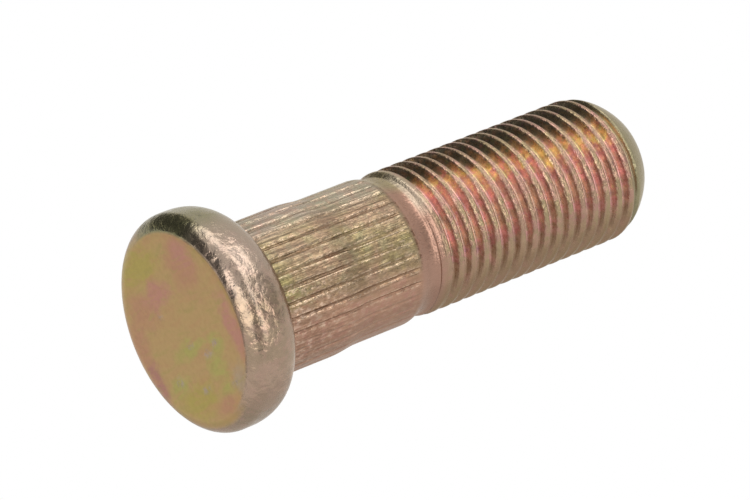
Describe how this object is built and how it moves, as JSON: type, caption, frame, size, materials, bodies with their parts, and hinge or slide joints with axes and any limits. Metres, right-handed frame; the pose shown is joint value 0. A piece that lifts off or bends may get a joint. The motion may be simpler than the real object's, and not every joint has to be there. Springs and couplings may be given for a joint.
{
  "type": "wheel stud",
  "caption": "Press-in wheel stud with a round flat head, a straight-knurled shank, a short neck and a fine right-hand thread, zinc plated with a yellow chromate.",
  "frame": {"origin": "centre of the head's flat face, which is the bottom centre of the bounding box", "axes": "+Z along the stud's axis, from the head's face to the point of the thread"},
  "size_m": [0.0176, 0.0176, 0.0432],
  "materials": {
    "plated_steel": "satin yellow chromate over zinc"
  },
  "bodies": {
    "root": {"wheel_stud": "plated_steel"}
  },
  "joints": []
}
